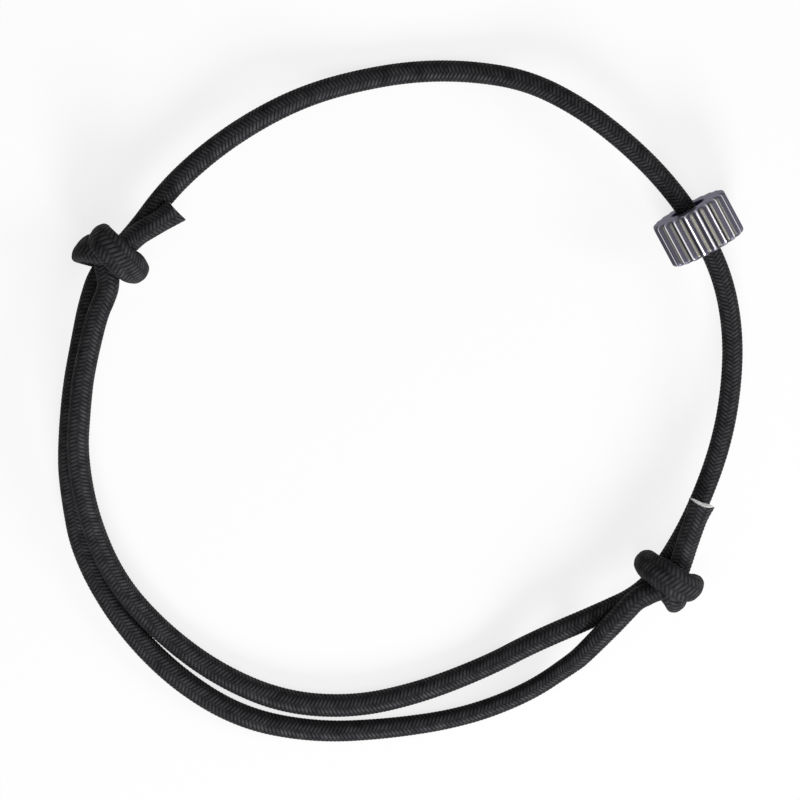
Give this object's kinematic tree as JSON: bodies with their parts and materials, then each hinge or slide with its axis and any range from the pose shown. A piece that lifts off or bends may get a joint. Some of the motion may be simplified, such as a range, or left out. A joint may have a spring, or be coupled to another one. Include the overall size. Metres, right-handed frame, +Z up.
{
  "type": "adjustable elastic cord wrist strap",
  "caption": "Adjustable wrist strap: a loop of braided elastic cord that closes with sliding overhand knots, with a fluted steel bead threaded on it.",
  "frame": {"origin": "on the table, under the middle of the loop's overall box", "axes": "+Z up, across the plane of the loop; +Y from the middle towards the top of the loop as pictured; +X to the right, towards the bead"},
  "size_m": [0.0686, 0.0694, 0.0093],
  "materials": {
    "braid": "black braided polyester yarn",
    "core": "white rubber threads",
    "bead": "polished stainless steel, dark in the grooves"
  },
  "bodies": {
    "loop": {"standing_cord_braid": "braid", "standing_cord_core": "core", "inner_run_braid": "braid", "inner_run_core": "core", "outer_run_braid": "braid", "outer_run_core": "core"},
    "bead": {"fluted_bead": "bead"},
    "left_knot": {"left_knot_braid": "braid", "left_knot_core": "core"},
    "right_knot": {"right_knot_braid": "braid", "right_knot_core": "core"}
  },
  "joints": [
    {"name": "bead_travel", "type": "hinge", "parent": "loop", "child": "bead", "pos_m": [0.00385, 0.0041, 0.0035], "axis": [0, 0, 1], "range_deg": [-20, 22]},
    {"name": "left_knot_slide", "type": "hinge", "parent": "loop", "child": "left_knot", "pos_m": [0.00385, -0.0035, 0.0035], "axis": [0, 0, 1], "range_deg": [-20, 20], "deforming": ["inner_run_braid", "inner_run_core"]},
    {"name": "right_knot_slide", "type": "hinge", "parent": "loop", "child": "right_knot", "pos_m": [0.00385, 0.0041, 0.0035], "axis": [0, 0, 1], "range_deg": [-14, 28], "deforming": ["outer_run_braid", "outer_run_core"]}
  ]
}
